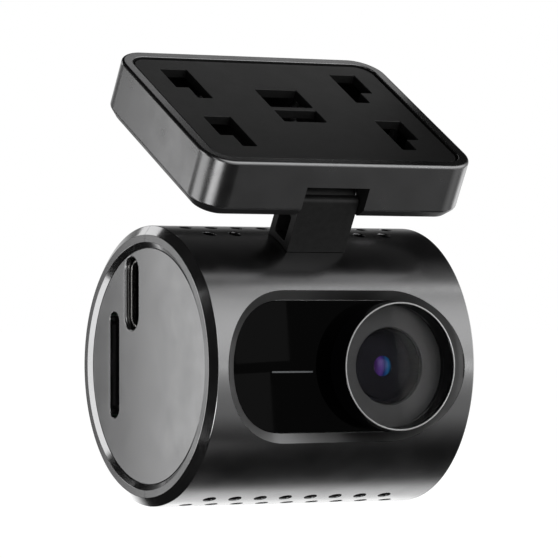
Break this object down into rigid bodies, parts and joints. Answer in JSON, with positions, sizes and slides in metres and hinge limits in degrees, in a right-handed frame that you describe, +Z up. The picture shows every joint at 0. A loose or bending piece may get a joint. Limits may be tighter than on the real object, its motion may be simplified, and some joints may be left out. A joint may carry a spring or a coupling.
{
  "type": "dash camera",
  "caption": "Compact cylindrical dash camera hung from a slotted windshield plate by a tilting arm, with a wide lens window, end covers, side ports and a press button.",
  "frame": {"origin": "centre of the plate's mounting face, on the bar between its two windows", "axes": "+Z up, the lens looks along -Y, the cylinder lies along X with the ports at -X; the mounting face slopes with the windshield and looks towards -Y and +Z"},
  "size_m": [0.0406, 0.037, 0.0605],
  "materials": {
    "satin_grey_paint": "satin",
    "silver_grey_paint": "satin",
    "matte_black_plastic": "matte, fine grain",
    "gloss_black_plastic": "polished",
    "dark_bezel": "semi-gloss",
    "lens_cover_glass": "polished",
    "coated_glass": "polished",
    "filter_glass": "polished",
    "grey_mask": "matte",
    "light_pipe": "frosted",
    "stainless": "brushed",
    "board_green": "solder mask",
    "chip_black": "matte",
    "thermal_pad": "matte",
    "heat_sink": "extruded",
    "capacitor_sleeve": "shrink sleeve"
  },
  "bodies": {
    "mount": {"mount_housing": "satin_grey_paint", "mount_panel": "matte_black_plastic", "mount_screw_1": "stainless", "mount_screw_2": "stainless", "mount_screw_3": "stainless", "mount_screw_4": "stainless", "hinge_pin": "stainless", "friction_washer_left": "stainless", "friction_washer_right": "stainless"},
    "camera": {"front_shell": "satin_grey_paint", "rear_shell": "satin_grey_paint", "left_cover": "silver_grey_paint", "right_cover": "silver_grey_paint", "support_arm": "matte_black_plastic", "lens_barrel": "matte_black_plastic", "lens_holder": "matte_black_plastic", "usb_tongue": "matte_black_plastic", "speaker_cone": "matte_black_plastic", "button_switch": "matte_black_plastic", "board_link": "matte_black_plastic", "window_panel": "gloss_black_plastic", "lens_bezel": "dark_bezel", "lens_glass": "lens_cover_glass", "front_element": "coated_glass", "rear_element": "coated_glass", "infrared_filter": "filter_glass", "lens_mask": "grey_mask", "light_bar": "light_pipe", "status_led": "light_pipe", "arm_retainer": "stainless", "arm_screw_left": "stainless", "arm_screw_right": "stainless", "shell_screw_1": "stainless", "shell_screw_2": "stainless", "shell_screw_3": "stainless", "shell_screw_4": "stainless", "board_screw_1": "stainless", "board_screw_2": "stainless", "board_screw_3": "stainless", "board_screw_4": "stainless", "usb_shell": "stainless", "card_socket": "stainless", "speaker_frame": "stainless", "microphone": "stainless", "main_board": "board_green", "card_board": "board_green", "processor": "chip_black", "image_sensor": "chip_black", "thermal_pad": "thermal_pad", "heat_sink": "heat_sink", "supercapacitor_lower": "capacitor_sleeve", "supercapacitor_upper": "capacitor_sleeve"},
    "button": {"power_button": "satin_grey_paint"},
    "card": {"memory_card": "chip_black"}
  },
  "joints": [
    {"name": "pitch_hinge", "type": "hinge", "parent": "mount", "child": "camera", "pos_m": [-0.0005, -0.00783, -0.01166], "axis": [-1, 0, 0], "range_deg": [-6, 70]},
    {"name": "button_press", "type": "slide", "parent": "camera", "child": "button", "axis": [-1, 0, 0], "range_m": [0, 0.0004], "stiffness_N_per_m": 2500},
    {"name": "card_slide", "type": "slide", "parent": "camera", "child": "card", "axis": [-1, 0, 0], "range_m": [-0.0006, 0.0155]}
  ]
}
